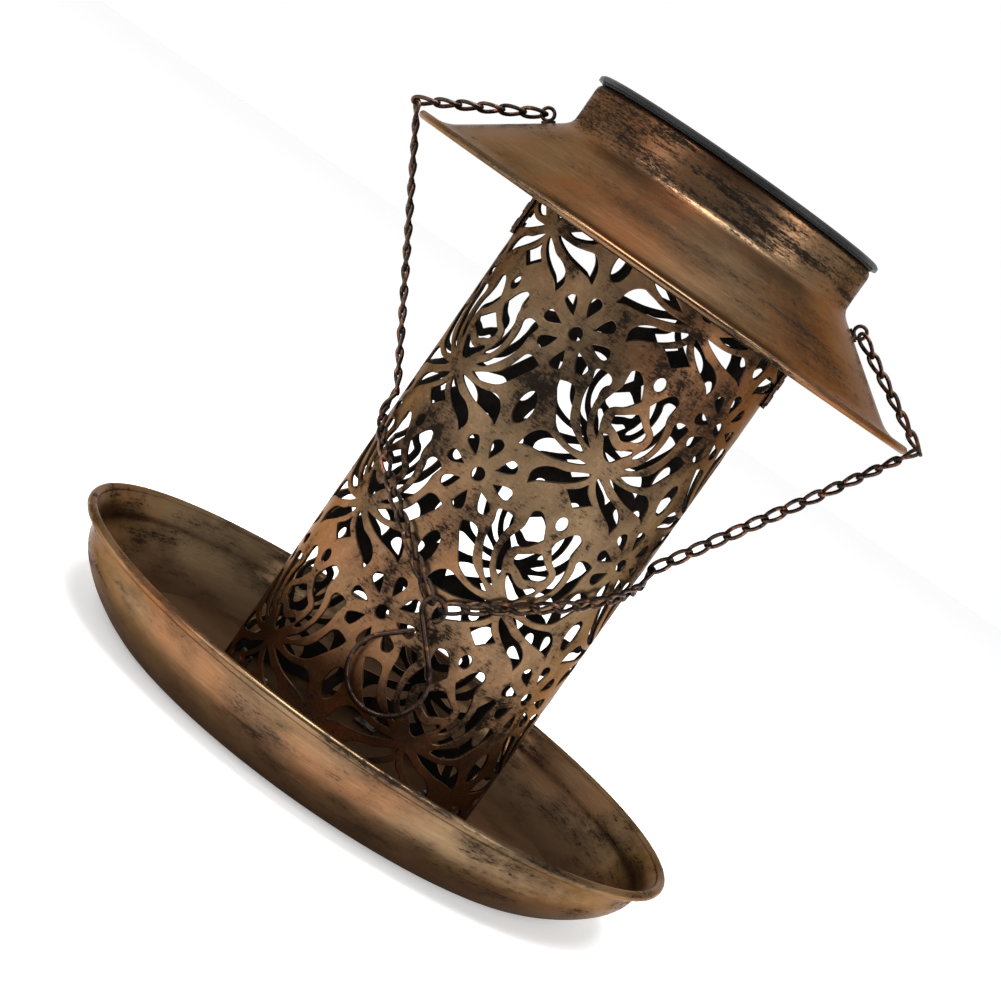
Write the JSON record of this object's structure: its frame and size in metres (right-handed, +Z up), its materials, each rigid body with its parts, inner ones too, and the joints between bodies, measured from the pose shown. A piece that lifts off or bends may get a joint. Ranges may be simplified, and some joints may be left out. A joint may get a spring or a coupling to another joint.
{
  "type": "hanging lantern bird feeder",
  "caption": "Round seed dish with a cut-out lantern cylinder, a cone roof holding a solar lamp, and a hanging chain with a hook.",
  "frame": {"origin": "centre of the foot ring's underside, on the surface that the dish stands on", "axes": "+Z up along the lantern's axis, -Y towards the side where the hook hangs, X through the chain's two eyes"},
  "size_m": [0.22, 0.22, 0.2223],
  "materials": {
    "bronze_steel": "satin",
    "dark_steel": "satin",
    "chain_steel": "satin",
    "zinc_steel": "satin",
    "black_plastic": "satin",
    "clear_plastic": "gloss",
    "cell_silicon": "gloss",
    "seal_rubber": "matte",
    "board": "satin",
    "battery_wrap": "gloss",
    "lead_jacket": "matte",
    "white_plastic": "satin"
  },
  "bodies": {
    "lantern": {"dish": "bronze_steel", "lantern_tube": "bronze_steel", "base_brackets": "dark_steel", "base_rivets": "dark_steel", "base_screws": "zinc_steel", "base_nuts": "zinc_steel", "roof": "bronze_steel", "roof_brackets": "dark_steel", "bracket_rivets": "dark_steel", "left_eye_bolt": "chain_steel", "right_eye_bolt": "chain_steel", "eye_bolt_nuts": "dark_steel"},
    "lamp": {"lamp_housing": "black_plastic", "clear_cover": "clear_plastic", "solar_cell": "cell_silicon", "lamp_gasket": "seal_rubber", "lamp_base": "black_plastic", "base_plate_screws": "zinc_steel", "circuit_board": "board", "led": "white_plastic", "led_lens": "clear_plastic", "battery": "battery_wrap", "battery_contacts": "zinc_steel", "switch_body": "zinc_steel", "cell_leads": "lead_jacket"},
    "switch": {"switch_slider": "white_plastic"},
    "upper_chain": {"left_roof_chain": "chain_steel", "right_roof_chain": "chain_steel", "left_side_chain": "chain_steel", "right_side_chain": "chain_steel"},
    "front_chain": {"left_front_chain": "chain_steel", "right_front_chain": "chain_steel"},
    "hook": {"s_hook": "chain_steel"}
  },
  "joints": [
    {"name": "lamp_lift", "type": "slide", "parent": "lantern", "child": "lamp", "axis": [0, 0, 1], "range_m": [0, 0.045]},
    {"name": "switch_slide", "type": "slide", "parent": "lamp", "child": "switch", "axis": [0, 1, 0], "range_m": [0, 0.003]},
    {"name": "chain_swing", "type": "hinge", "parent": "lantern", "child": "upper_chain", "pos_m": [0, 0, 0.20295], "axis": [-1, 0, 0], "range_deg": [0, 12]},
    {"name": "chain_lift", "type": "hinge", "parent": "upper_chain", "child": "front_chain", "pos_m": [0, -0.0086, 0.1], "axis": [-1, 0, 0], "range_deg": [0, 45]},
    {"name": "hook_swing", "type": "hinge", "parent": "front_chain", "child": "hook", "pos_m": [0, -0.0495, 0.06465], "axis": [-1, 0, 0], "range_deg": [0, 30]}
  ]
}
